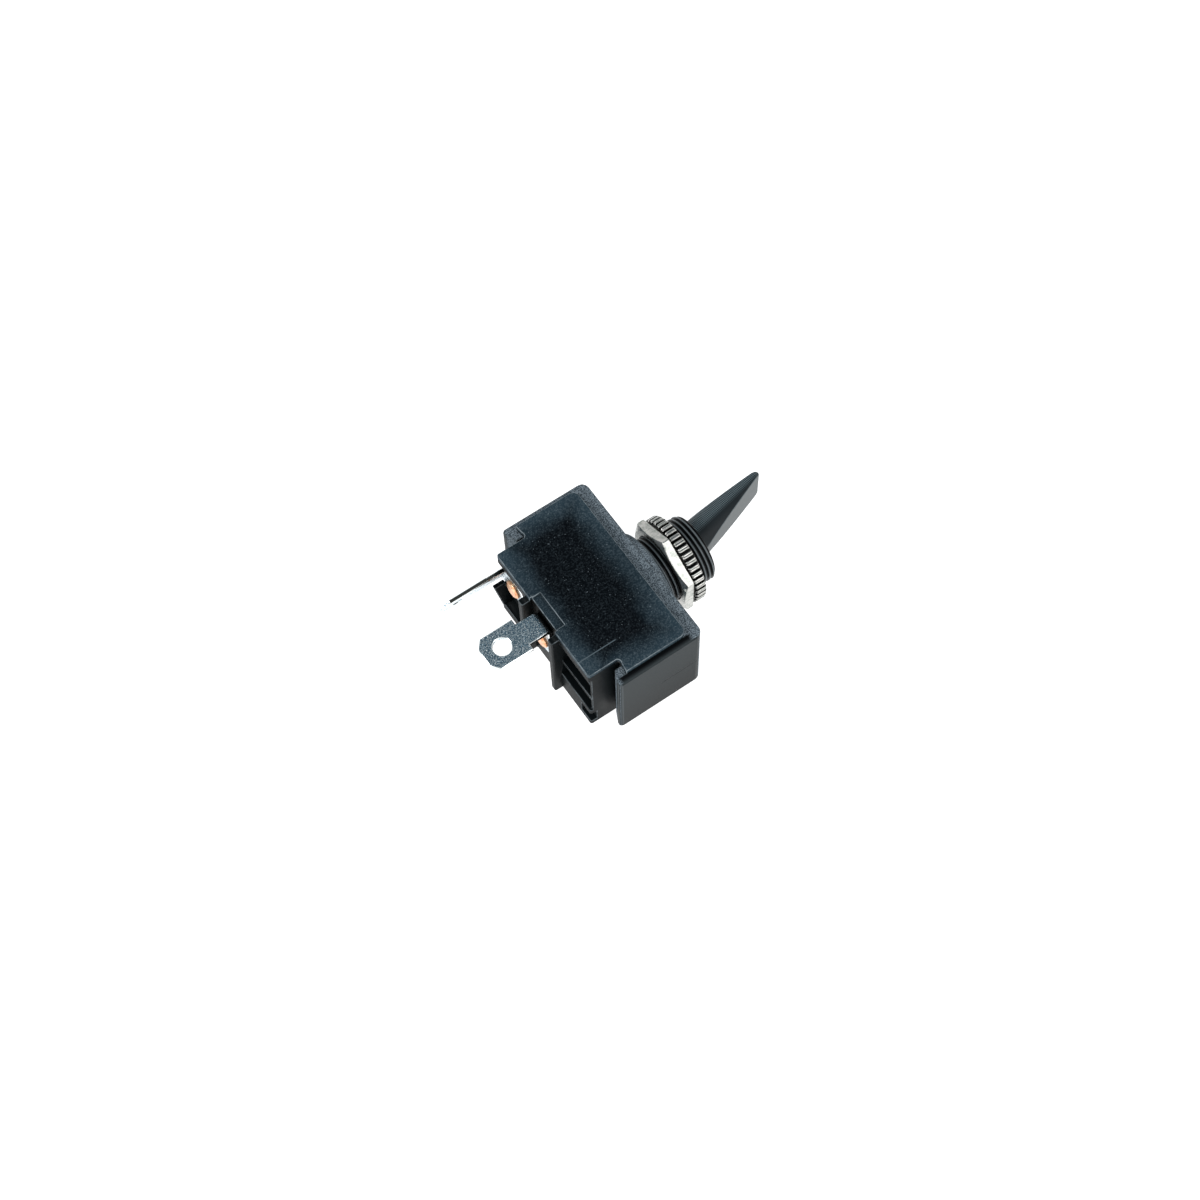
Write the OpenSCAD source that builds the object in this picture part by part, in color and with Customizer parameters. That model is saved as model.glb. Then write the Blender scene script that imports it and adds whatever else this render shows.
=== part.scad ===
// Panel toggle switch: a two-terminal, on-off snap switch with a moulded threaded bushing, a flat
// tapered lever, one hex and one knurled panel nut, and two quarter-inch blade terminals.
//
// The origin is on the bushing's axis, in the face of the boss that the panel seats against.
// +X runs out along the bushing, +Y along the long side of the body towards the end terminal, and
// +Z is the normal of the flat side plate. The switch is drawn lying on its other side plate, with
// the lever in the off position, tipped towards +Y.

/* [Panel bushing] */
// Outside diameter of the bushing thread
thread_dia = 11.9; // [11.6:0.05:12]
// Length of the bushing beyond the panel seat
bushing_len = 9.2; // [8.6:0.1:12]
// Diameter of the round boss round the bushing
boss_dia = 16; // [15.6:0.1:16.1]
// Height of that boss above the head of the cover
boss_height = 1.25; // [0.8:0.05:1.6]

/* [Cover] */
// Length of the cover along the body
cover_length = 33.4; // [33:0.1:35]
// Width of the cover between the two side plates of the base
cover_width = 16.2; // [16.2:0.1:16.4]
// Depth of the cover from the face of its head to the ends of its legs
cover_depth = 16; // [15:0.1:17]
// Thickness of the head
head_thick = 2.45; // [2.2:0.05:2.8]
// Thickness of each leg
leg_thick = 2.9; // [2.6:0.05:2.9]
// Radius of the two corners of the head
head_corner_r = 1.5; // [1:0.1:2]

/* [Base] */
// Thickness of each side plate where it laps over the cover
plate_thick = 1.25; // [1:0.05:1.6]
// Length of the wide part of a side plate
plate_length = 31.1; // [30.5:0.1:31.5]
// Length of the narrow back part of the base
narrow_length = 26; // [25.8:0.1:26.2]
// Depth of the wide part of a side plate, behind the head
wide_depth = 11.55; // [11:0.05:12]
// Depth of the whole base, behind the head
base_depth = 16.9; // [16.8:0.05:17.1]
// Depth of the terminal bays in the back face
bay_depth = 1.6; // [1.4:0.05:1.7]
// Distance by which the two partitions stand out behind the base
partition_out = 1.45; // [1:0.05:2]

/* [Terminals] */
// Width of a blade
blade_width = 6.35; // [6.3:0.05:6.4]
// Thickness of the terminal strip
blade_thick = 0.8; // [0.75:0.05:0.85]
// Distance from the panel seat back to the tips of the blades
blade_reach = 31.65; // [31:0.05:33]
// Width of the neck on the centre terminal
neck_width = 4.3; // [4:0.1:4.6]
// Diameter of the hole in a blade
blade_hole_dia = 3; // [2.4:0.1:3.2]
// Angle by which the end terminal is turned on its rivet
end_turn = 19.5; // [0:0.5:20]

/* [Lever] */
// Angle of the lever from the bushing's axis in either position
lever_tilt = 11.5; // [10:0.5:12]
// Length of the lever from its pivot to its tip
lever_length = 20.1; // [17:0.1:24]
// Width across the flat end of the lever
lever_width = 6.6; // [6:0.1:6.8]
// Thickness of the lever at its rounded tip
lever_tip_thick = 1.1; // [0.9:0.1:1.6]

/* [Nuts] */
// Width across the flats of the hex nut
hex_flats = 14.3; // [14:0.1:15]
// Thickness of the hex nut
hex_thick = 1.75; // [1.6:0.05:2]
// Outside diameter of the knurled nut
knurl_dia = 15.6; // [15:0.1:16]
// Thickness of the knurled nut
knurl_thick = 2.1; // [2:0.05:2.4]
// Number of teeth in the knurl
knurl_teeth = 40; // [36:1:48]

/* [Hidden] */
$fn = 64;

// Reach of a cut beyond the face that it opens
over = 1;

// Cover
thread_r = thread_dia / 2;
head_front = -boss_height;
head_back = head_front - head_thick;
cover_back = head_front - cover_depth;
cover_y = cover_length / 2;
cover_z = cover_width / 2;
bore_r = 4.45;
bore_flare_r = 6.2;
edge_r = 0.4;
thread_chamfer = 0.45;

// Base
gasket_thick = 0.3;
rim_x = head_back - gasket_thick;
base_back = head_back - base_depth;
base_z = cover_z + plate_thick;
plate_y = plate_length / 2;
narrow_y = narrow_length / 2;
step_x = head_back - wide_depth;
inner_y = cover_y - leg_thick - 0.05;
cavity_y = 11.9;
cavity_z = 6.9;
cavity_floor = -17.2;
bay_floor = base_back + bay_depth;
centre_floor = base_back + 0.5;
partition_in_y = 3.55;
partition_out_y = 4.8;
bay_top = 7;
open_bay_bottom = -7.4;
shut_bay_bottom = -4.2;
bay_wall = 0.5;

// Terminals and rivets
bend_r = 1.15;
centre_blade_z = 7;
end_neck = 5.6;
end_drop = 3.75;
end_rivet_y = 9.85;
rivet_z = 1.35;
shank_r = 1.2;
rivet_head_r = 1.7;
rivet_head = 0.6;

// Lever and plunger
pivot_x = 5;
ball_r = 4.3;
pin_r = 1;
pin_play = 0.05;
pin_end = 5.3;
arm_r = 2.6;
arm_length = 10.5;
plunger_r = 1.7;
plunger_play = 0.05;
bore_top = 2.6;
plunger_top = 7;
oring_wire_r = 0.6;
oring_gap = 0.03;
oring_x = 7.1;
oring_r = sqrt(pow(ball_r + oring_wire_r + oring_gap, 2) - pow(oring_x - pivot_x, 2));
groove_r = oring_r + oring_wire_r;

// Rocker
rocker_tilt = lever_tilt / 2;
rocker_x = -13.1;
strip_thick = 0.8;
strip_z = 2.9;
rocker_lift = 2.63;
plunger_reach = pivot_x - rocker_x - rocker_lift;
trunnion_r = 0.6;
trunnion_play = 0.06;
saddle_thick = 0.6;
ear_z = 3.3;
inner_head = 0.7;
fixed_top = cavity_floor + 2 * inner_head;
fixed_r = 1.5;
contact_gap = 0.1;
wing_top = 0.5;
stop_x = rocker_x - 8 * sin(rocker_tilt) - 0.1;
button_height = rocker_x + (wing_top - strip_thick) * cos(rocker_tilt)
    - end_rivet_y * sin(rocker_tilt) - fixed_top - contact_gap;

// Nuts
nut_play = 0.06;
hex_x = 2.05;
knurl_x = hex_x + hex_thick + 0.15;

// Turns a solid drawn along +Z so that it lies along +X, starting at x
module along_x(x) {
    translate([x, 0, 0]) rotate([0, 90, 0]) children();
}

// Upright block between two corners
module block(low, high) {
    translate(low) cube(high - low);
}

// Flat rectangle with four round corners
module round_rect(low, high, r) {
    translate([low[0] + r, low[1]]) square([high[0] - low[0] - 2 * r, high[1] - low[1]]);
    translate([low[0], low[1] + r]) square([high[0] - low[0], high[1] - low[1] - 2 * r]);
    for (x = [low[0] + r, high[0] - r], y = [low[1] + r, high[1] - r])
        translate([x, y]) circle(r);
}

// Solid of revolution about X: points are [radius, x]
module turned_x(points) {
    rotate([0, 90, 0]) rotate_extrude() polygon(points);
}

// Copies a shape to the other end of the body
module both_ends() {
    children();
    mirror([0, 1, 0]) children();
}

// Plan of the U-shaped cover: the head, and two legs whose ends lead in towards the base
module cover_plan() {
    nose_r = 0.45;
    lead = 1;
    difference() {
        round_rect([cover_back + lead, -cover_y], [head_front, cover_y], head_corner_r);
        translate([cover_back, -cover_y + leg_thick])
            square([head_back - cover_back, 2 * (cover_y - leg_thick)]);
    }
    both_ends() {
        polygon([
            [cover_back + 4, cover_y], [cover_back + nose_r, cover_y],
            [cover_back, cover_y - nose_r], [cover_back + 0.05, cover_y - 1],
            [cover_back + lead, cover_y - leg_thick], [cover_back + 4, cover_y - leg_thick]
        ]);
    }
}

// Head and legs, with their long edges rounded
module cover_shell() {
    intersection() {
        translate([0, 0, -cover_z]) linear_extrude(cover_width) cover_plan();
        rotate([90, 0, 90]) translate([0, 0, cover_back - over])
            linear_extrude(cover_depth + 2 * over)
                round_rect([-cover_y, -cover_z], [cover_y, cover_z], edge_r);
    }
}

// Boss, bushing and the lever's bore turned about the bushing's axis
module bushing_cover() color([0.16, 0.18, 0.21]) {
    difference() {
        union() {
            cover_shell();
            turned_x([
                [0, head_front - 0.5], [boss_dia / 2, head_front - 0.5],
                [boss_dia / 2, -0.35], [boss_dia / 2 - 0.35, 0],
                [thread_r, 0], [thread_r, bushing_len - thread_chamfer],
                [thread_r - thread_chamfer, bushing_len], [0, bushing_len]
            ]);
        }
        turned_x([
            [0, head_back - over], [bore_flare_r, head_back - over], [bore_flare_r, head_back],
            [bore_r, 0.5], [bore_r, oring_x - oring_wire_r],
            [groove_r, oring_x - oring_wire_r], [groove_r, oring_x + oring_wire_r],
            [bore_r, oring_x + oring_wire_r], [bore_r, bushing_len - 0.2],
            [bore_r + 0.2 + over, bushing_len + over], [0, bushing_len + over]
        ]);
        translate([pivot_x, 0, 0]) cylinder(h = 2 * pin_end, r = pin_r, center = true);
    }
}

// T-shaped plan of a side plate: wide over the cover's legs, narrow behind them
module plate_plan() {
    slant = 0.3;
    step_r = 0.6;
    difference() {
        union() {
            round_rect([head_back - 5, -plate_y], [head_back, plate_y], 1.3);
            polygon([
                [head_back - 2, -plate_y], [head_back - 2, plate_y],
                [step_x, plate_y], [step_x + slant, narrow_y],
                [step_x + slant, -narrow_y], [step_x, -plate_y]
            ]);
            round_rect([base_back, -narrow_y], [step_x + slant + 2, narrow_y], 0.4);
            both_ends() translate([step_x + slant - step_r, narrow_y])
                square([step_r + 0.2, step_r]);
        }
        both_ends() translate([step_x + slant - step_r, narrow_y + step_r]) circle(step_r);
    }
}

// Plan of the block between the two side plates
module block_plan() {
    translate([step_x + 0.3, -inner_y]) square([rim_x - step_x - 0.3, 2 * inner_y]);
    round_rect([base_back, -narrow_y], [step_x + 2, narrow_y], 0.4);
}

// Partition that stands out beside the centre terminal
module partition() {
    translate([0, 0, -base_z]) linear_extrude(base_z + 8.4)
        round_rect([base_back - partition_out, partition_in_y],
            [bay_floor, partition_out_y], 0.3);
}

// Recess round the end terminal, open at the end of the body for the blade
module open_bay() {
    block([base_back - over, partition_out_y, open_bay_bottom],
        [bay_floor, narrow_y + over, bay_top]);
}

// Post below the end terminal's blade: it steps down where the terminal's foot passes over it, and
// its back slopes in towards the bottom
module blade_post() {
    behind_foot = bay_floor - blade_thick - 0.15;
    foot_z = -8.3;
    translate([0, narrow_y, 0]) rotate([90, 0, 0]) linear_extrude(0.8)
        polygon([
            [bay_floor + 0.2, -1], [behind_foot, -1], [behind_foot, 0],
            [base_back - partition_out, 0],
            [base_back, foot_z], [bay_floor + 0.2, foot_z]
        ]);
}

// Recess at the end that has no terminal: a thin wall shuts it, and a groove runs below it
module shut_bay() {
    mirror([0, 1, 0]) {
        block([base_back - over, partition_out_y, shut_bay_bottom],
            [bay_floor, narrow_y - bay_wall, bay_top]);
        block([base_back - over, partition_out_y, shut_bay_bottom],
            [base_back + 0.5, narrow_y + over, bay_top]);
        block([base_back - over, 10.3, -8.3], [base_back + 1.2, narrow_y + over, -5.4]);
    }
}

module terminal_base() color([0.07, 0.08, 0.1]) {
    difference() {
        union() {
            translate([0, 0, -cover_z]) linear_extrude(cover_width) block_plan();
            for (z = [-base_z, cover_z])
                translate([0, 0, z]) linear_extrude(plate_thick) plate_plan();
            both_ends() partition();
        }
        block([cavity_floor, -cavity_y, -cavity_z], [rim_x + over, cavity_y, cavity_z]);
        open_bay();
        shut_bay();
        block([base_back - over, -partition_in_y, -base_z - over],
            [centre_floor, partition_in_y, base_z + over]);
        for (side = [-1, 1])
            block([base_back - over, -3.4, side > 0 ? base_z - 0.6 : -base_z - over],
                [base_back + 2, 3.4, side > 0 ? base_z + over : -base_z + 0.6]);
        for (y = [0, end_rivet_y])
            translate([base_back - over, y, rivet_z]) rotate([0, 90, 0])
                cylinder(h = base_depth, r = shank_r);
    }
    blade_post();
    // Ribs across the bay that has no terminal
    block([base_back + 0.35, -narrow_y + 0.1, -0.4], [bay_floor, -partition_out_y, 0.4]);
    block([base_back + 0.8, -narrow_y + 0.1, 3.3], [bay_floor, -partition_out_y, 3.8]);
    // Stop under the rocker's free wing
    block([cavity_floor, -7.9, -2], [stop_x, -6.6, 2]);
}

// Flat seal between the head of the cover and the rim of the base
module cover_gasket() color([0.1, 0.1, 0.1]) {
    difference() {
        block([rim_x, -inner_y + 0.1, -cover_z + 0.1], [head_back, inner_y - 0.1, cover_z - 0.1]);
        block([rim_x - over, -cavity_y, -cavity_z], [head_back + over, cavity_y, cavity_z]);
    }
}

// Flat-sided wedge that trims the round lever down to its thin tip, drawn from the pivot
module lever_wedge() {
    tip_r = lever_tip_thick / 2;
    root_y = 3.3;
    tip_x = lever_length - tip_r;
    translate([0, 0, -lever_width]) linear_extrude(2 * lever_width) {
        polygon([[2.5, -root_y], [tip_x, -tip_r], [tip_x, tip_r], [2.5, root_y]]);
        translate([tip_x, 0]) circle(tip_r);
    }
}

// Everything that tips with the lever is drawn along +X from the pivot and turned with this
module on_lever() {
    translate([pivot_x, 0, 0]) rotate([0, 0, lever_tilt]) children();
}

module toggle_lever() color([0.1, 0.12, 0.13]) on_lever() {
    difference() {
        union() {
            sphere(ball_r);
            intersection() {
                turned_x([
                    [0, 1], [3.15, 1], [3.15, 6], [lever_width / 2, lever_length - 1],
                    [lever_width / 2 - 0.3, lever_length - 0.3],
                    [lever_width / 2 - 1, lever_length + over], [0, lever_length + over]
                ]);
                lever_wedge();
            }
            along_x(-arm_length) cylinder(h = arm_length, r = arm_r);
        }
        along_x(-arm_length - over)
            cylinder(h = arm_length - bore_top + over, r = plunger_r + plunger_play);
        cylinder(h = 3 * ball_r, r = pin_r + pin_play, center = true);
    }
}

module lever_pin() color([0.7, 0.7, 0.72]) {
    translate([pivot_x, 0, 0]) cylinder(h = 2 * pin_end, r = pin_r, center = true);
}

// Ring that wipes the lever's ball
module lever_oring() color([0.05, 0.05, 0.05]) {
    along_x(oring_x) rotate_extrude() translate([oring_r, 0]) circle(oring_wire_r);
}

// Round-nosed follower that the spring pushes onto the rocker
module plunger() color([0.86, 0.84, 0.76]) on_lever() {
    along_x(-plunger_reach) cylinder(h = plunger_reach - plunger_top, r = plunger_r);
    translate([-plunger_reach, 0, 0]) sphere(plunger_r);
    along_x(-plunger_top) cylinder(h = 1.2, r = 0.8);
}

// Coil of round wire swept along a helix, drawn between the plunger and the top of its bore
module plunger_spring() color([0.75, 0.75, 0.77]) on_lever() {
    turns = 4.5;
    steps = 16 * turns;
    sides = 6;
    wire_r = 0.2;
    coil_r = 1.25;
    low = bore_top + wire_r + 0.02;
    rise = plunger_top - bore_top - 2 * wire_r - 0.04;
    points = [
        for (i = [0:steps], j = [0:sides - 1])
            let (a = 360 * turns * i / steps, b = 360 * j / sides, r = coil_r + wire_r * cos(b))
            [-(low + rise * i / steps + wire_r * sin(b)), r * cos(a), r * sin(a)]
    ];
    walls = [
        for (i = [0:steps - 1], j = [0:sides - 1])
            let (k = (j + 1) % sides)
            [i * sides + j, i * sides + k, (i + 1) * sides + k, (i + 1) * sides + j]
    ];
    near_cap = [for (j = [sides - 1:-1:0]) j];
    far_cap = [for (j = [0:sides - 1]) steps * sides + j];
    polyhedron(points, concat([near_cap], walls, [far_cap]));
}

// Everything on the rocker is drawn round its pivot and turned with this
module on_rocker() {
    translate([rocker_x, 0, 0]) rotate([0, 0, -rocker_tilt]) children();
}

// Upper line of the rocker's wing on the contact side, as [y, height] pairs from the pivot out
contact_wing = [[0, strip_thick / 2], [3.6, 1.48], [4.6, 1.48], [8, wing_top], [11.3, wing_top]];
// The same for the free wing, from its end in to the pivot
free_wing = [[-8, 0.8], [-7, 0.8], [-4.6, 1.48], [-3.6, 1.48]];

// Strip bent into a shallow valley that the plunger rides in, with a lug on each side
module rocker_contact() color([0.8, 0.5, 0.3]) on_rocker() {
    top = concat(free_wing, contact_wing);
    count = len(top);
    translate([0, 0, -strip_z]) linear_extrude(2 * strip_z)
        polygon(concat(
            [for (p = top) [p[1], p[0]]],
            [for (i = [count - 1:-1:0]) [top[i][1] - strip_thick, top[i][0]]]
        ));
    for (side = [0, 1]) mirror([0, 0, side])
        translate([0, 0, strip_z - 0.5]) cylinder(h = 1.8, r = trunnion_r);
}

// Domed silver contact under the end of the rocker
module rocker_button() color([0.85, 0.85, 0.87]) on_rocker() {
    dome_r = 5;
    translate([wing_top - strip_thick, end_rivet_y, rivet_z]) intersection() {
        along_x(-button_height) cylinder(h = button_height, r = 1.4);
        translate([dome_r - button_height, 0, 0]) sphere(dome_r);
    }
}

// Bracket with two notched ears that the rocker's lugs sit in
module rocker_saddle() color([0.8, 0.5, 0.3]) {
    foot_z = ear_z + saddle_thick;
    difference() {
        union() {
            block([cavity_floor, -2.6, -foot_z], [cavity_floor + saddle_thick, 2.6, foot_z]);
            for (side = [0, 1]) mirror([0, 0, side])
                block([cavity_floor, -2, ear_z], [rocker_x + 1.3, 2, foot_z]);
        }
        translate([0, 0, rivet_z]) along_x(cavity_floor - over) cylinder(h = 3, r = shank_r);
        translate([rocker_x, 0, 0])
            cylinder(h = 4 * foot_z, r = trunnion_r + trunnion_play, center = true);
        block([rocker_x, -trunnion_r - trunnion_play, -2 * foot_z],
            [rocker_x + 4, trunnion_r + trunnion_play, 2 * foot_z]);
    }
}

// Silver contact on the inner head of the end rivet
module fixed_contact() color([0.85, 0.85, 0.87]) {
    translate([0, end_rivet_y, rivet_z]) turned_x([
        [0, cavity_floor + inner_head], [fixed_r, cavity_floor + inner_head],
        [fixed_r, fixed_top - 0.2], [fixed_r - 0.2, fixed_top], [0, fixed_top]
    ]);
}

// Angled blade terminal. Its foot lies in the plane x = 0 and hangs down from the bend, and its
// blade runs back to x = -reach with its upper face in the plane z = 0
module blade_terminal(reach, neck, rivet_drop, foot_r) {
    inner_r = bend_r - blade_thick;
    tip_in = 1.2;
    tip_y = 1.6;
    wide_x = 4.25;
    half = blade_width / 2;
    difference() {
        union() {
            translate([0, 0, -blade_thick]) linear_extrude(blade_thick) polygon([
                [-bend_r, -neck / 2], [-wide_x, -neck / 2], [-wide_x, -half],
                [-reach + tip_in, -half], [-reach, -tip_y],
                [-reach, tip_y], [-reach + tip_in, half],
                [-wide_x, half], [-wide_x, neck / 2], [-bend_r, neck / 2]
            ]);
            translate([-bend_r, 0, -bend_r]) rotate([90, 0, 0])
                intersection() {
                    difference() {
                        cylinder(h = neck, r = bend_r, center = true);
                        cylinder(h = neck + over, r = inner_r, center = true);
                    }
                    translate([0, 0, -neck]) cube([bend_r + over, bend_r + over, 2 * neck]);
                }
            block([-blade_thick, -neck / 2, -rivet_drop], [0, neck / 2, -bend_r]);
            translate([-blade_thick, 0, -rivet_drop]) rotate([0, 90, 0])
                cylinder(h = blade_thick, r = foot_r);
        }
        translate([-reach + 3.45, 0, -blade_thick - over])
            cylinder(h = blade_thick + 2 * over, r = blade_hole_dia / 2);
        translate([-blade_thick - over, 0, -rivet_drop]) rotate([0, 90, 0])
            cylinder(h = blade_thick + 2 * over, r = shank_r);
    }
}

module centre_terminal() color([0.72, 0.76, 0.8]) {
    translate([centre_floor, 0, centre_blade_z])
        blade_terminal(blade_reach + centre_floor, neck_width, centre_blade_z - rivet_z, 3.175);
}

module end_terminal() color([0.72, 0.76, 0.8]) {
    translate([bay_floor, end_rivet_y, rivet_z]) rotate([end_turn - 90, 0, 0])
        translate([0, 0, end_drop])
            blade_terminal(blade_reach + bay_floor, end_neck, end_drop, end_neck / 2);
}

// Rivet through the back wall: a low round head outside and a flat head inside
module rivet(outer_x, inner_x, inner_r) {
    turned_x([
        [0, outer_x - rivet_head], [rivet_head_r - 0.4, outer_x - rivet_head],
        [rivet_head_r, outer_x - rivet_head / 2], [rivet_head_r, outer_x],
        [shank_r, outer_x], [shank_r, inner_x], [inner_r, inner_x],
        [inner_r, inner_x + inner_head], [0, inner_x + inner_head]
    ]);
}

module centre_rivet() color([0.85, 0.5, 0.28]) {
    translate([0, 0, rivet_z])
        rivet(centre_floor - blade_thick, cavity_floor + saddle_thick, 1.8);
}

module end_rivet() color([0.85, 0.5, 0.28]) {
    translate([0, end_rivet_y, rivet_z])
        rivet(bay_floor - blade_thick, cavity_floor, fixed_r + 0.15);
}

// Hex nut with its corners chamfered on the face towards the seat
module hex_nut() color([0.78, 0.78, 0.76]) {
    corner_r = hex_flats / 2 / cos(30);
    flat_r = hex_flats / 2 - 0.1;
    drop = (corner_r - flat_r) * tan(25);
    edge_break = 0.12;
    bore = thread_r + nut_play;
    difference() {
        intersection() {
            along_x(hex_x) cylinder(h = hex_thick, r = corner_r, $fn = 6);
            translate([hex_x, 0, 0]) turned_x([
                [0, 0], [flat_r, 0], [corner_r, drop], [corner_r, hex_thick - edge_break],
                [corner_r - edge_break, hex_thick], [0, hex_thick]
            ]);
        }
        along_x(hex_x - over) cylinder(h = hex_thick + 2 * over, r = bore);
    }
}

// Round nut with a straight knurl: a ring of slots cut into its rim, chamfered at both ends
module knurled_nut() color([0.72, 0.72, 0.7]) {
    rim_r = knurl_dia / 2;
    slot_deep = 0.42;
    slot_wide = 0.5 * PI * knurl_dia / knurl_teeth;
    bevel = 0.3;
    difference() {
        along_x(knurl_x) linear_extrude(knurl_thick) difference() {
            circle(rim_r);
            for (i = [0:knurl_teeth - 1]) rotate(360 * (i + 0.5) / knurl_teeth)
                translate([rim_r, 0]) polygon([
                    [over, -slot_wide / 2], [-slot_deep, -slot_wide / 3],
                    [-slot_deep, slot_wide / 3], [over, slot_wide / 2]
                ]);
            circle(thread_r + nut_play);
        }
        for (end = [0, 1]) translate([knurl_x + end * knurl_thick, 0, 0])
            mirror([end, 0, 0]) turned_x([
                [rim_r - bevel, -over], [rim_r + over, -over],
                [rim_r + over, bevel + over], [rim_r - bevel, 0]
            ]);
    }
}

bushing_cover();
terminal_base();
cover_gasket();
toggle_lever();
lever_pin();
lever_oring();
plunger();
plunger_spring();
rocker_contact();
rocker_button();
rocker_saddle();
fixed_contact();
centre_terminal();
centre_rivet();
end_terminal();
end_rivet();
hex_nut();
knurled_nut();
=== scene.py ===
"""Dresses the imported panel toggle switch: its finishes, its moulded edges and its bushing thread."""

import math

import bmesh
import bpy
import numpy as np
from mathutils import Matrix, Vector


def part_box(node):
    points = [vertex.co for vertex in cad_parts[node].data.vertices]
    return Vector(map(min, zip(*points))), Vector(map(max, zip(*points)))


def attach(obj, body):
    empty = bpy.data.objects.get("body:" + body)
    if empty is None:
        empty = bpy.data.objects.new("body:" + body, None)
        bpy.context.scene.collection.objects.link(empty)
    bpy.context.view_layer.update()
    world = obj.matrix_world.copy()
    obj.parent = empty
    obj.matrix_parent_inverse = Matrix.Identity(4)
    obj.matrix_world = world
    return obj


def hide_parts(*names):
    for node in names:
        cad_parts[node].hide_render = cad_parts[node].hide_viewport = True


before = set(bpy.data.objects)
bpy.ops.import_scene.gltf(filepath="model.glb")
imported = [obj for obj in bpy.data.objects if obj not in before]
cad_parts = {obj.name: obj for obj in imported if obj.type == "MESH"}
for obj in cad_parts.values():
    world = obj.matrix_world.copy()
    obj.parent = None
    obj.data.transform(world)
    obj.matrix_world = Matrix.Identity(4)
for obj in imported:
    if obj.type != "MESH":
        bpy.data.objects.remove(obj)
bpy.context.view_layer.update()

# ---------------------------------------------------------------------------------------------
# Studio. The switch lies on its lower side plate on a white sweep. The tent round it is white low
# down and on the -Y side, and dark blue-grey overhead, so upward faces stay dark and edges light.
# ---------------------------------------------------------------------------------------------


class Socket:
    """A value in a node tree. Each operator on it adds the Math node that works it out."""

    def __init__(self, tree, link):
        self.tree = tree
        self.link = link

    def maths(self, operation, *values):
        return self.tree.add("ShaderNodeMath", {"operation": operation}, values)

    def __add__(self, other):
        return self.maths("ADD", self, other)

    def __radd__(self, other):
        return self.maths("ADD", other, self)

    def __sub__(self, other):
        return self.maths("SUBTRACT", self, other)

    def __rsub__(self, other):
        return self.maths("SUBTRACT", other, self)

    def __mul__(self, other):
        return self.maths("MULTIPLY", self, other)

    def __rmul__(self, other):
        return self.maths("MULTIPLY", other, self)

    def __truediv__(self, other):
        return self.maths("DIVIDE", self, other)

    def __pow__(self, other):
        return self.maths("POWER", self, other)

    def __abs__(self):
        return self.maths("ABSOLUTE", self)

    def sine(self):
        return self.maths("SINE", self)

    def cosine(self):
        return self.maths("COSINE", self)

    def least(self, other):
        return self.maths("MINIMUM", self, other)

    def most(self, other):
        return self.maths("MAXIMUM", self, other)

    def step(self, low, high):
        """0 below low, 1 above high and a smooth rise between them."""
        settings = {"interpolation_type": "SMOOTHSTEP"}
        inputs = {"Value": self, "From Min": low, "From Max": high}
        return self.tree.add("ShaderNodeMapRange", settings, inputs)


class Tree:
    """The node tree of a finish, of the floor or of the world."""

    def __init__(self, owner):
        owner.use_nodes = True
        self.owner = owner
        self.nodes = owner.node_tree.nodes
        self.links = owner.node_tree.links
        self.nodes.clear()

    def add(self, kind, settings=None, inputs=(), output=0):
        """Adds a node: its settings first, then its sockets' values and links."""
        node = self.nodes.new(kind)
        for name, value in (settings or {}).items():
            setattr(node, name, value)
        pairs = inputs.items() if isinstance(inputs, dict) else enumerate(inputs)
        for key, value in pairs:
            if isinstance(value, Socket):
                self.links.new(value.link, node.inputs[key])
            else:
                node.inputs[key].default_value = value
        return Socket(self, node.outputs[output])

    def axes(self, vector):
        """The X, Y and Z of a vector."""
        first = self.add("ShaderNodeSeparateXYZ", None, [vector])
        return [Socket(self, out) for out in first.link.node.outputs]

    def blend(self, share, first, second):
        """First colour where share is 0 and the second where it is 1."""
        first = first if isinstance(first, Socket) else (*first, 1.0)
        second = second if isinstance(second, Socket) else (*second, 1.0)
        settings = {"data_type": "RGBA"}
        return self.add("ShaderNodeMix", settings, {0: share, 6: first, 7: second}, 2)

    def coordinates(self, turn=0.0, centre=(0.0, 0.0, 0.0)):
        """Object coordinates in millimetres, turned about Z round a centre in millimetres."""
        place = self.add("ShaderNodeTexCoord", output="Object")
        settings = {"vector_type": "TEXTURE"}
        inputs = {
            "Vector": place,
            "Location": [c / 1000 for c in centre],
            "Rotation": (0, 0, turn),
            "Scale": (0.001, 0.001, 0.001),
        }
        return self.add("ShaderNodeMapping", settings, inputs)

    def edge_highlight(self):
        """1 on the rounded edges that ease_edges marks, where the finishes paint a highlight, and 0
        elsewhere.
        """
        return self.add("ShaderNodeAttribute", {"attribute_name": "edge_highlight"}, output="Fac")

    def noise(self, place, size, detail=2.0):
        """Cloudy noise from about 0.2 to 0.8, with features of a size in millimetres."""
        inputs = {"Vector": place, "Scale": 1 / size, "Detail": detail}
        return self.add("ShaderNodeTexNoise", None, inputs)

    def bump(self, height, depth):
        """Normal of a surface whose relief is height times a depth in millimetres."""
        return self.add("ShaderNodeBump", None, {"Height": height, "Distance": depth / 1000})

    def close(self, kind, inputs, target="ShaderNodeOutputMaterial"):
        """Ends the tree in one shader."""
        shader = self.add(kind, None, inputs)
        end = self.nodes.new(target)
        self.links.new(shader.link, end.inputs[0])
        return self.owner


floor_half = 3.0
floor_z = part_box("terminal_base")[0].z
floor_mesh = bpy.data.meshes.new("sweep")
floor_mesh.from_pydata(
    [(x, y, floor_z) for x, y in ((-1, -1), (1, -1), (1, 1), (-1, 1))], [], [(0, 1, 2, 3)]
)
floor_mesh.transform(Matrix.Diagonal((floor_half, floor_half, 1, 1)))
sweep = bpy.data.objects.new("sweep", floor_mesh)
bpy.context.scene.collection.objects.link(sweep)

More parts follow.
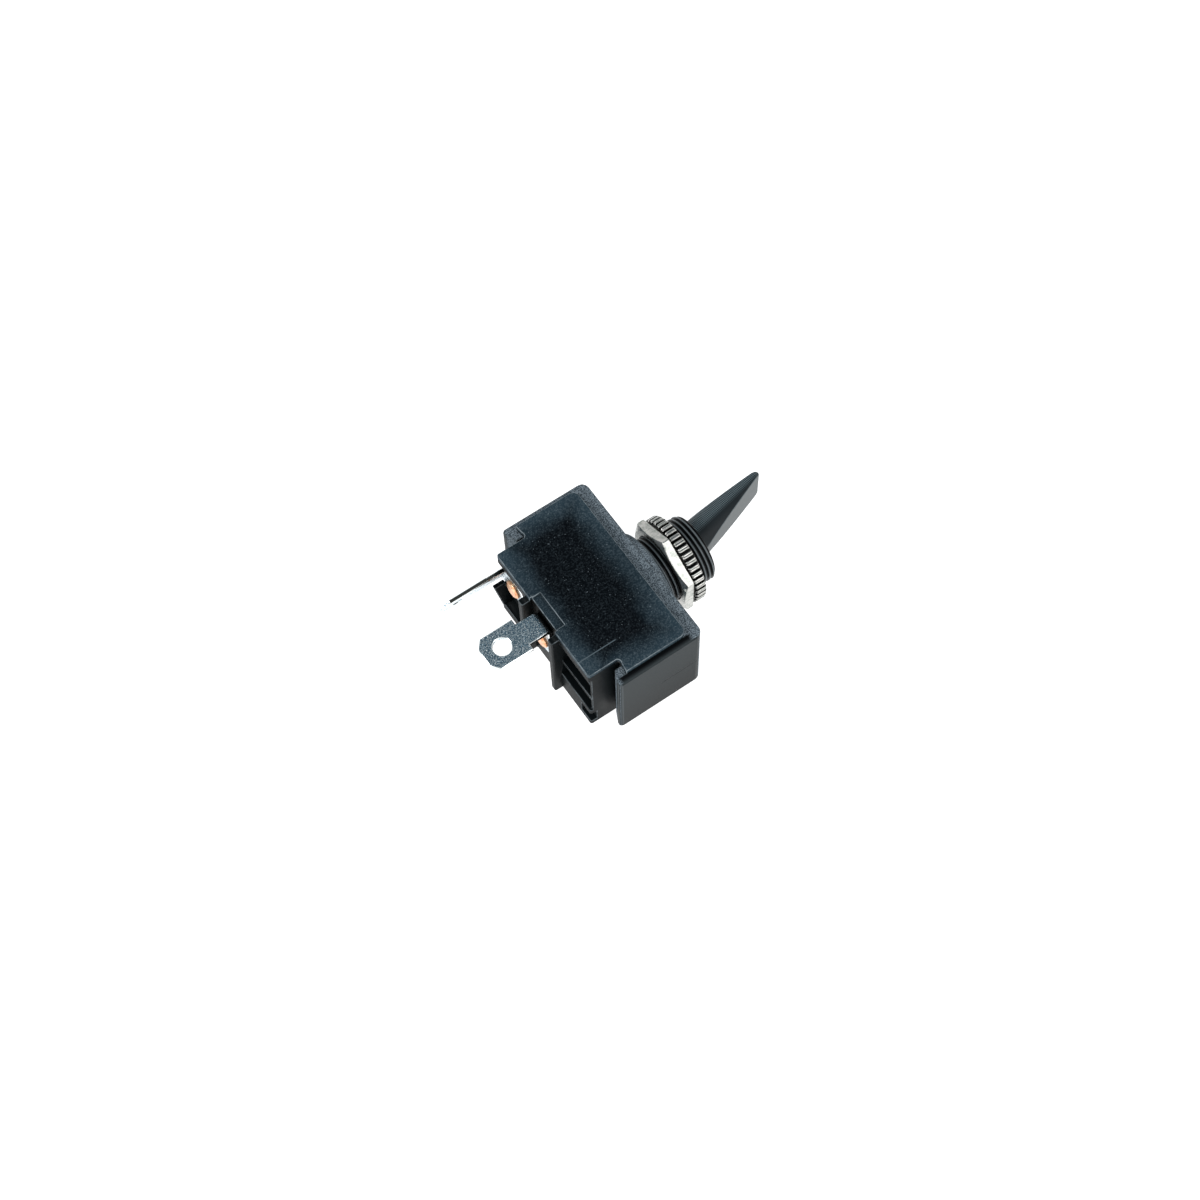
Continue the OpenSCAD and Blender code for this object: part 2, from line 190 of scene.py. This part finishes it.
# The paper is pure white to the lens and in reflections, and keeps a pale shadow
paper = Tree(bpy.data.materials.new("white_paper"))
kinds = ("Is Camera Ray", "Is Glossy Ray", "Is Transmission Ray")
ray = [paper.add("ShaderNodeLightPath", output=kind) for kind in kinds]
seen = ray[0].most(ray[1]).most(ray[2])
floor_mesh.materials.append(
    paper.close(
        "ShaderNodeBsdfPrincipled",
        {
            "Base Color": (0.70, 0.70, 0.70, 1),
            "Roughness": 0.9,
            "Specular IOR Level": 0.0,
            "Emission Color": paper.blend(seen, (0.45, 0.45, 0.45), (0.92, 0.92, 0.92)),
            "Emission Strength": 1.0,
        },
    )
)

tent = Tree(bpy.data.worlds.new("tent"))
bpy.context.scene.world = tent.owner
# The tent's brightness follows how far a direction leans towards this one
bright_side = (0.0, -0.55, -0.83)
heading = tent.add("ShaderNodeTexCoord", output="Generated")
lean = tent.add("ShaderNodeVectorMath", {"operation": "DOT_PRODUCT"}, [heading, bright_side], 1)
level = ((lean + 1.0) / 0.7).most(0.0).least(1.0) ** 1.6
# A white card stands low behind the switch and lights the far edges
card_side = (0.0, 0.94, 0.34)
card = tent.add("ShaderNodeVectorMath", {"operation": "DOT_PRODUCT"}, [heading, card_side], 1)
level = level.most(card.step(0.89, 0.96))
tent_colour = tent.blend(level, (0.09, 0.135, 0.165), (0.80, 0.80, 0.80))
to_lens = tent.add("ShaderNodeLightPath", output="Is Camera Ray")
tent_colour = tent.blend(to_lens, tent_colour, (1.0, 1.0, 1.0))
tent.close("ShaderNodeBackground", {"Color": tent_colour, "Strength": 1.0}, "ShaderNodeOutputWorld")


def softbox(name, heading, distance, size, watts):
    """Square lamp that hangs in a direction from the switch and faces it."""
    lamp_data = bpy.data.lights.new(name, "AREA")
    lamp_data.size = size
    lamp_data.energy = watts
    lamp = bpy.data.objects.new(name, lamp_data)
    heading = Vector(heading).normalized()
    lamp.matrix_world = Matrix.Translation(heading * distance) @ (
        heading.to_track_quat("Z", "Y").to_matrix().to_4x4()
    )
    bpy.context.scene.collection.objects.link(lamp)


softbox("side_softbox", (-0.80, 0.15, 0.60), 1.0, 0.5, 5.0)
softbox("front_softbox", (0.35, -0.75, 0.60), 1.0, 0.5, 2.5)

# The lens stands above the back left corner and looks down on the side plate
camera_data = bpy.data.cameras.new("camera")
camera_data.lens = 67.56
camera_data.sensor_width = 36.0
camera_data.shift_x = -0.0359
camera_data.shift_y = -0.0179
camera = bpy.data.objects.new("camera", camera_data)
aim = Vector((-0.00125, 0.0, 0.0))
lens_distance = 0.36606
towards_lens = Vector((-0.2556, -0.3685, 0.8938)).normalized()
right = Vector((0.8194, -0.5732, -0.0019))
right = (right - towards_lens * right.dot(towards_lens)).normalized()
up = towards_lens.cross(right)
camera.matrix_world = Matrix.Translation(aim + towards_lens * lens_distance) @ (
    Matrix((right, up, towards_lens)).transposed().to_4x4()
)
bpy.context.scene.collection.objects.link(camera)
bpy.context.scene.camera = camera
bpy.context.scene.view_settings.view_transform = "Standard"

# ---------------------------------------------------------------------------------------------
# Cover. One injection moulding in black glass-filled nylon: head, boss, bushing and two legs. Its
# tool is spark-eroded, which leaves a fine matt grain on the head and the narrow side strips.
# ---------------------------------------------------------------------------------------------


def merged_copy(node, name):
    """Copy of a CAD node's mesh with its loose triangles joined into a few convex flat faces."""
    work = bmesh.new()
    work.from_mesh(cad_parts[node].data)
    bmesh.ops.remove_doubles(work, verts=work.verts, dist=2e-6)
    bmesh.ops.dissolve_limit(
        work, angle_limit=math.radians(0.3), verts=work.verts, edges=work.edges
    )
    bmesh.ops.connect_verts_concave(work, faces=work.faces)
    mesh = bpy.data.meshes.new(name)
    work.to_mesh(mesh)
    work.free()
    mesh.shade_smooth()
    mesh.set_sharp_from_angle(angle=math.radians(32))
    piece = bpy.data.objects.new(name, mesh)
    bpy.context.scene.collection.objects.link(piece)
    return piece


def flat_shading(piece):
    """Keeps the shading of the flats flat beside rounded edges."""
    flats = piece.modifiers.new("flat_shading", "WEIGHTED_NORMAL")
    flats.keep_sharp = True


def ease_edges(piece, width, segments=2):
    """Rounds the outward edges by a width in millimetres, where no more than three edges meet. The
    rounded faces carry the attribute edge_highlight, where the finishes paint a pale highlight along
    the edges."""
    least_angle = math.radians(32)
    work = bmesh.new()
    work.from_mesh(piece.data)
    edge_highlight = work.faces.layers.float.new("edge_highlight")
    sharp = {edge for edge in work.edges if edge.calc_face_angle(0) > least_angle}
    eased = []
    for edge in sharp:
        busy = any(len(sharp.intersection(end.link_edges)) > 3 for end in edge.verts)
        if edge.calc_face_angle_signed(0) > least_angle and not busy:
            eased.append(edge)
    eased.sort(key=lambda edge: edge.index)
    made = bmesh.ops.bevel(
        work, geom=eased, offset=width / 1000, offset_type="OFFSET", segments=segments,
        profile=0.5, affect="EDGES",
    )
    for face in made["faces"]:
        face[edge_highlight] = 1.0
        face.smooth = True
    work.to_mesh(piece.data)
    work.free()
    flat_shading(piece)


def dress(piece, body, slot, finish, *nodes):
    """Gives a piece its finish and its body, and hides the CAD nodes that it stands for. The slot is
    not used.
    """
    piece.data.materials.clear()
    piece.data.materials.append(finish)
    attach(piece, body)
    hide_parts(*nodes)


grain = Tree(bpy.data.materials.new("spark_grain_nylon"))
place = grain.coordinates()
x, y, z = grain.axes(place)
speckle = grain.noise(place, 0.17, 2.0)
cloud = grain.noise(place, 2.5)
# The outer faces and the ends of the legs are nearly smooth, with a fine line where the tool's parts
# meet, and on the -Y side the strip beside the plate is painted dark, a painted shadow of the plate's
# edge
leg_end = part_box("bushing_cover")[0].x * 1000
grained = abs(y).step(16.55, 16.4) * x.step(leg_end + 0.02, leg_end + 0.3)
mould_line = abs(z + 0.5).step(0.14, 0.05) * x.step(-9.6, -8.8) * (1.0 - grained)
plate_shadow = (-1.0 * y).step(15.3, 15.5) * x.step(-2.8, -3.8) * x.step(-17.0, -16.2)
# The legs are painted darker towards the bottom, a painted shade
shaded_leg_tone = grain.blend(z.step(-9.0, 8.0), (0.010, 0.013, 0.014), (0.021, 0.028, 0.031))
strip_shadow_tone = grain.blend(abs(y).step(15.8, 16.6), (0.003, 0.004, 0.005), (0.034, 0.042, 0.045))
# The grain's pale speckles are partly the nylon's own grain and partly a painted highlight on the
# grain
tone = grain.blend(speckle.step(0.40, 0.62), (0.052, 0.070, 0.084), (0.26, 0.31, 0.35))
tone = grain.blend(grained * (0.75 + 0.4 * cloud), shaded_leg_tone, tone)
tone = grain.blend(plate_shadow, tone, grain.blend(abs(y).step(16.6, 16.68), strip_shadow_tone, shaded_leg_tone))
# Painted highlight: the cover's rounded edges are painted paler
tone = grain.blend(0.45 * grain.edge_highlight(), tone, (0.10, 0.12, 0.13))
tone = grain.blend(mould_line * 0.8, tone, (0.002, 0.003, 0.004))
spark_grain_nylon = grain.close(
    "ShaderNodeBsdfPrincipled",
    {
        "Base Color": tone,
        "Roughness": 0.42 + 0.22 * grained,
        "Specular IOR Level": 0.06,
        "Normal": grain.bump(speckle * (0.15 + 0.85 * grained) - mould_line, 0.06),
    },
)

cover = merged_copy("bushing_cover", "cover_moulding")
bushing_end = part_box("bushing_cover")[1].x
thread_crest = 0.00595
thread_core = 0.0053
points = np.empty(len(cover.data.vertices) * 3)
cover.data.vertices.foreach_get("co", points)
points = points.reshape(-1, 3)
radius = np.hypot(points[:, 1], points[:, 2])
# The bushing's outer wall is drawn in to the core that the thread stands on
wall = (points[:, 0] > -1e-6) & (radius > 0.0052) & (radius < 0.0060)
points[wall, 1:] *= (thread_core / radius[wall])[:, None]
cover.data.vertices.foreach_set("co", points.ravel())
cover.data.update()
ease_edges(cover, 0.15)
dress(cover, "body", "cover_nylon", spark_grain_nylon, "bushing_cover")

# ---------------------------------------------------------------------------------------------
# Bushing thread. A fine right-hand thread, taken as 15/32-32, moulded on the bushing. It is smoother
# than the head and has rounded crests. The two nuts run on it.
# ---------------------------------------------------------------------------------------------


def closed_rings(name, grid):
    """Solid from a grid of points that closes on itself along both of its directions."""
    rows, columns = grid.shape[:2]
    here = np.arange(rows * columns).reshape(rows, columns)
    next_row = np.roll(here, -1, axis=0)
    faces = np.stack(
        [here, np.roll(here, -1, axis=1), np.roll(next_row, -1, axis=1), next_row], axis=-1
    )
    mesh = bpy.data.meshes.new(name)
    mesh.from_pydata(grid.reshape(-1, 3).tolist(), [], faces.reshape(-1, 4).tolist())
    mesh.shade_smooth()
    mesh.set_sharp_from_angle(angle=math.radians(50))
    piece = bpy.data.objects.new(name, mesh)
    bpy.context.scene.collection.objects.link(piece)
    return piece


def thread_sleeve(name, length, crest, core, pitch, depth, chamfer):
    """Sleeve with a right-hand thread: at turn t and distance x its radius is the crest less the
    depth times a rounded V of the phase x / pitch - t, trimmed by a chamfer at its outer end."""
    turns = np.linspace(0, 1, 144, endpoint=False)
    along = np.linspace(0, length, int(14 * length / pitch))
    phase = (along[:, None] / pitch - turns[None, :]) % 1.0
    groove = 0.5 - np.abs(phase - 0.5)
    ridge = np.clip((groove - 0.09) / 0.30, 0, 1)
    ridge = ridge * ridge * (3 - 2 * ridge)
    radius = crest - depth * (1 - ridge)
    radius = np.minimum(radius, crest - chamfer + np.clip(length - along, 0, None)[:, None])
    run_in = np.clip(along / (0.5 * pitch), 0, 1)[:, None]
    radius = (crest - depth) + (radius - crest + depth) * run_in
    angle = 2 * np.pi * turns
    inner = np.full((1, len(turns)), core)
    radius = np.concatenate([inner, radius, inner])
    along = np.concatenate([[0], along, [length]])
    across = [radius * np.cos(angle), radius * np.sin(angle)]
    grid = np.stack([np.broadcast_to(along[:, None], radius.shape), *across], axis=-1)
    return closed_rings(name, grid)


gloss = Tree(bpy.data.materials.new("moulded_thread"))
place = gloss.coordinates()
x, y, z = gloss.axes(place)
reach = (y * y + z * z) ** 0.5
# The thread's crests are painted paler, a painted highlight
crest_highlight = reach.step(5.86, 5.94)
moulded_thread = gloss.close(
    "ShaderNodeBsdfPrincipled",
    {
        "Base Color": gloss.blend(crest_highlight, (0.004, 0.005, 0.006), (0.13, 0.15, 0.16)),
        "Roughness": 0.30 + 0.15 * gloss.noise(place, 0.5),
        "Specular IOR Level": 0.2,
        "Normal": gloss.bump(gloss.noise(place, 0.3), 0.01),
    },
)
thread_pitch = 0.0254 / 32
thread_depth = 0.00048
thread_chamfer = 0.00045
thread = thread_sleeve(
    "bushing_thread", bushing_end, thread_crest, thread_core,
    thread_pitch, thread_depth, thread_chamfer,
)
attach(thread, "body")
thread.data.materials.append(moulded_thread)

# ---------------------------------------------------------------------------------------------
# Base. One thermoset moulding, smoother and blacker than the cover: two side plates on a block with
# the terminal bays. The plates are dark in their middle and painted paler towards their edges, a
# painted sheen.
# ---------------------------------------------------------------------------------------------

phenolic = Tree(bpy.data.materials.new("black_thermoset"))
place = phenolic.coordinates()
x, y, z = phenolic.axes(place)
plate_low, plate_high = (Vector(corner) * 1000 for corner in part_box("terminal_base"))
cloud = phenolic.noise(place, 4.0)
from_edge = ((plate_high.x - x).least(x - plate_low.x - 1.5)).least(plate_high.y - abs(y))
# The painted sheen of the pale rim is broken up by the cloud, and is weaker near the middle of the
# plate's length
edge_sheen = (from_edge + 3.0 * (cloud - 0.5)).step(5.0, 0.2)
edge_sheen = edge_sheen * (0.6 + 0.4 * abs(y).step(3.0, 11.0))
on_plate = z.step(8.5, 8.7)
fine = phenolic.noise(place, 0.25, 3.0)
dust = phenolic.noise(place, 0.28, 1.0).step(0.70, 0.78)
plate_tone = phenolic.blend(edge_sheen, (0.0020, 0.0030, 0.0045), (0.024, 0.045, 0.061))
plate_tone = phenolic.blend(0.5 * fine.step(0.42, 0.70) * (0.3 + edge_sheen), plate_tone, (0.09, 0.12, 0.14))
plate_tone = phenolic.blend(dust * 0.35, plate_tone, (0.30, 0.36, 0.40))
# A fine ridge crosses the plate, painted lighter along its top, a painted highlight
ridge = abs(y + 10.1).step(0.13, 0.05) * x.step(-13.2, -13.8) * on_plate
plate_tone = phenolic.blend(ridge, plate_tone, (0.10, 0.13, 0.15))
# The centre terminal's recess is painted darker, a painted shade
slot_shade = abs(y).step(3.65, 3.5) * x.step(-18.4, -18.6)
block_tone = phenolic.blend(slot_shade, (0.004, 0.006, 0.007), (0.001, 0.001, 0.001))
tone = phenolic.blend(on_plate, block_tone, plate_tone)
# Painted highlight: the rounded edges are painted pale, broken up by noise and stronger on the plates
painted_highlight = phenolic.edge_highlight() * (0.35 + 0.65 * phenolic.noise(place, 1.2).step(0.35, 0.60))
tone = phenolic.blend(painted_highlight * (0.5 + 0.5 * on_plate), tone, (0.20, 0.235, 0.255))
black_thermoset = phenolic.close(
    "ShaderNodeBsdfPrincipled",
    {
        "Base Color": tone,
        "Roughness": 0.34 + 0.2 * edge_sheen,
        "Specular IOR Level": 0.07,
        "Normal": phenolic.bump(fine + 2.0 * cloud + ridge, 0.012),
    },
)
base = merged_copy("terminal_base", "base_moulding")
ease_edges(base, 0.12)
dress(base, "body", "base_moulding", black_thermoset, "terminal_base")

# ---------------------------------------------------------------------------------------------
# Lever. A black nylon duckbill: a round shaft cut by two flats that meet in a thin rounded tip. The
# rounded sides keep a fine crosshatch that is worn away on one half, and the flats are smooth.
# ---------------------------------------------------------------------------------------------

lever_turn = math.radians(11.5)
pivot = (5.0, 0.0, 0.0)
hatch = Tree(bpy.data.materials.new("crosshatched_nylon"))
place = hatch.coordinates(lever_turn, pivot)
x, y, z = hatch.axes(place)
hatch_pitch = 0.42
wave = 2 * math.pi / (hatch_pitch * math.sqrt(2))
lattice = ((x + y) * wave).sine() * ((x - y) * wave).sine()
# The flats draw together towards the tip, so their half thickness falls with the distance
half_thick = 3.3 - 0.1613 * (x - 2.5)
on_round = abs(y).step(half_thick - 0.03, half_thick - 0.12)
raised = lattice.step(-0.5, 0.6) * y.step(-0.9, 0.3)
tone = hatch.blend(raised, (0.010, 0.015, 0.018), (0.140, 0.185, 0.205))
tone = hatch.blend(on_round, (0.052, 0.066, 0.069), tone)
# Painted highlight: the lever's rounded edges are painted paler
tone = hatch.blend(0.6 * hatch.edge_highlight(), tone, (0.12, 0.15, 0.16))
crosshatched_nylon = hatch.close(
    "ShaderNodeBsdfPrincipled",
    {
        "Base Color": tone,
        "Roughness": 0.36 + 0.16 * on_round,
        "Specular IOR Level": 0.2,
        "Normal": hatch.bump(raised * on_round, 0.03),
    },
)
lever = merged_copy("toggle_lever", "duckbill_lever")
ease_edges(lever, 0.10)
dress(lever, "lever", "lever_nylon", crosshatched_nylon, "toggle_lever")

# ---------------------------------------------------------------------------------------------
# Panel nuts. Nickel-plated brass: a hex nut cut from bar, with its faces chamfered, and a thin round
# nut with a straight knurl. Turning marks and light wear dull the plating.
# ---------------------------------------------------------------------------------------------

nickel = Tree(bpy.data.materials.new("nickel_plate"))
place = nickel.coordinates()
x, y, z = nickel.axes(place)
reach = (y * y + z * z) ** 0.5
wear = nickel.noise(place, 0.9, 4.0)
turned = nickel.noise(nickel.add("ShaderNodeCombineXYZ", None, [reach * 6.0, x * 2.0, 0.0]), 0.5)
plated = nickel.blend(wear.step(0.35, 0.65), (0.40, 0.42, 0.39), (0.64, 0.63, 0.60))
# The slots of the knurl are painted dark, a painted shade, and a fine line down the middle of each
# tooth is painted dark, a painted dark reflection
on_knurl = x.step(3.85, 3.95) * reach.step(7.28, 7.34)
knurl_slot_shade = reach.step(7.68, 7.55) * on_knurl
plated = nickel.blend(knurl_slot_shade, plated, (0.010, 0.011, 0.011))
ribs = (z.maths("ARCTAN2", z, y) * 120.0).cosine() * on_knurl
plated = nickel.blend(ribs.step(0.2, 0.9) * 0.85, plated, (0.03, 0.03, 0.03))
nickel_plate = nickel.close(
    "ShaderNodeBsdfPrincipled",
    {
        "Base Color": plated,
        "Metallic": 1.0,
        "Roughness": 0.20 + 0.18 * wear,
        "Normal": nickel.bump(turned + wear - 3.0 * ribs, 0.008),
    },
)
for node in ("hex_nut", "knurled_nut"):
    nut = merged_copy(node, node.replace("nut", "panel_nut"))
    ease_edges(nut, 0.09)
    dress(nut, node, "nut_nickel", nickel_plate, node)

# ---------------------------------------------------------------------------------------------
# Blade terminals. Brass strip plated with tin, pierced, cropped and bent. The plating has a fine
# mottled frost on its flats, and the rounded edges along the cropped sides are painted bright, a
# painted highlight.
# ---------------------------------------------------------------------------------------------


half_tab = 3.175


def frosted_tin(name, middle, breadth, half_neck, shoulder, crop_tone):
    """Tin plate for a blade. Its middle line passes the point middle (y, z), its breadth runs along
    the direction breadth (y, z), and it narrows to a neck of half_neck at x = shoulder. The frost
    stops at the rounded edges, which are painted bright as a painted highlight, and the cropped faces
    between them are duller."""
    tin = Tree(bpy.data.materials.new(name))
    place = tin.coordinates()
    x, y, z = tin.axes(place)
    across = abs((y - middle[0]) * breadth[0] + (z - middle[1]) * breadth[1])
    on_neck = x.step(shoulder - 0.05, shoulder + 0.05)
    cropped = (across + on_neck * (half_tab - half_neck)).step(3.15, 3.17)
    flat = 1.0 - tin.edge_highlight().most(cropped)
    frost = tin.noise(place, 0.22, 2.0)
    tone = tin.blend(frost.step(0.42, 0.60).most(1.0 - flat), (0.22, 0.34, 0.42), (0.95, 1.0, 1.0))
    values = {
        "Base Color": tin.blend(cropped, tone, crop_tone),
        "Metallic": 1.0,
        "Roughness": 0.14 + 0.12 * tin.noise(place, 1.6),
        "Normal": tin.bump(frost * flat, 0.12),
    }
    return tin.close("ShaderNodeBsdfPrincipled", values)


bright_crop = (0.60, 0.61, 0.60)
# The end blade's cropped faces are painted near black, a painted shade
shaded_crop = (0.10, 0.10, 0.09)
centre_tin = frosted_tin("centre_tin", (0.0, 0.0), (1.0, 0.0), 2.15, -24.35, bright_crop)
end_tin = frosted_tin("end_tin", (13.008, 2.468), (-0.3338, 0.9426), 2.8, -23.25, shaded_crop)
for node, name, finish in (
    ("centre_terminal", "centre_blade", centre_tin), ("end_terminal", "end_blade", end_tin)
):
    blade = merged_copy(node, name)
    ease_edges(blade, 0.18)
    dress(blade, "body", "terminal_plate", finish, node)

# ---------------------------------------------------------------------------------------------
# Rivets and contacts. Bright copper rivets with spun heads fasten the terminals, and copper strip
# and silver faces make the circuit inside the base.
# ---------------------------------------------------------------------------------------------


def worked_metal(name, dark, light, roughness, size=0.5):
    """Bare metal whose tone drifts between two colours, with faint working marks."""
    tree = Tree(bpy.data.materials.new(name))
    drift = tree.noise(tree.coordinates(), size, 3.0)
    values = {
        "Base Color": tree.blend(drift.step(0.35, 0.65), dark, light),
        "Metallic": 1.0,
        "Roughness": roughness + 0.12 * drift,
        "Normal": tree.bump(drift, 0.01),
    }
    return tree.close("ShaderNodeBsdfPrincipled", values)


def bare(node, finish):
    """Puts a finish on a CAD node that keeps its own shape."""
    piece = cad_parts[node]
    piece.data.materials.clear()
    piece.data.materials.append(finish)


rivet_copper = worked_metal("rivet_copper", (0.66, 0.29, 0.14), (0.92, 0.58, 0.36), 0.26)
contact_copper = worked_metal("contact_copper", (0.66, 0.30, 0.15), (0.86, 0.48, 0.28), 0.30)
contact_silver = worked_metal("contact_silver", (0.72, 0.72, 0.72), (0.92, 0.92, 0.90), 0.24)
for node in ("centre_rivet", "end_rivet"):
    rivet = merged_copy(node, node + "_head")
    ease_edges(rivet, 0.06)
    dress(rivet, "body", "rivet_copper", rivet_copper, node)
for node in ("rocker_contact", "rocker_saddle"):
    bare(node, contact_copper)
for node in ("rocker_button", "fixed_contact"):
    bare(node, contact_silver)

# ---------------------------------------------------------------------------------------------
# Lever works. A ground steel pin and a wire spring, a turned acetal plunger, and nitrile seals:
# an O-ring round the lever's ball and a flat gasket between cover and base.
# ---------------------------------------------------------------------------------------------


def moulded(name, dark, light, roughness, size=0.8):
    """Plastic or rubber whose tone drifts between two colours, with a faint grain."""
    tree = Tree(bpy.data.materials.new(name))
    drift = tree.noise(tree.coordinates(), size, 3.0)
    values = {
        "Base Color": tree.blend(drift, dark, light),
        "Roughness": roughness + 0.12 * drift,
        "Normal": tree.bump(drift, 0.01),
    }
    return tree.close("ShaderNodeBsdfPrincipled", values)


pin_steel = worked_metal("pin_steel", (0.50, 0.50, 0.50), (0.68, 0.68, 0.67), 0.28)
plunger_acetal = moulded("plunger_acetal", (0.72, 0.70, 0.62), (0.84, 0.82, 0.75), 0.32)
seal_rubber = moulded("seal_rubber", (0.012, 0.012, 0.012), (0.030, 0.030, 0.030), 0.55)
bare("lever_pin", pin_steel)
bare("plunger_spring", pin_steel)
bare("plunger", plunger_acetal)
bare("lever_oring", seal_rubber)
bare("cover_gasket", seal_rubber)
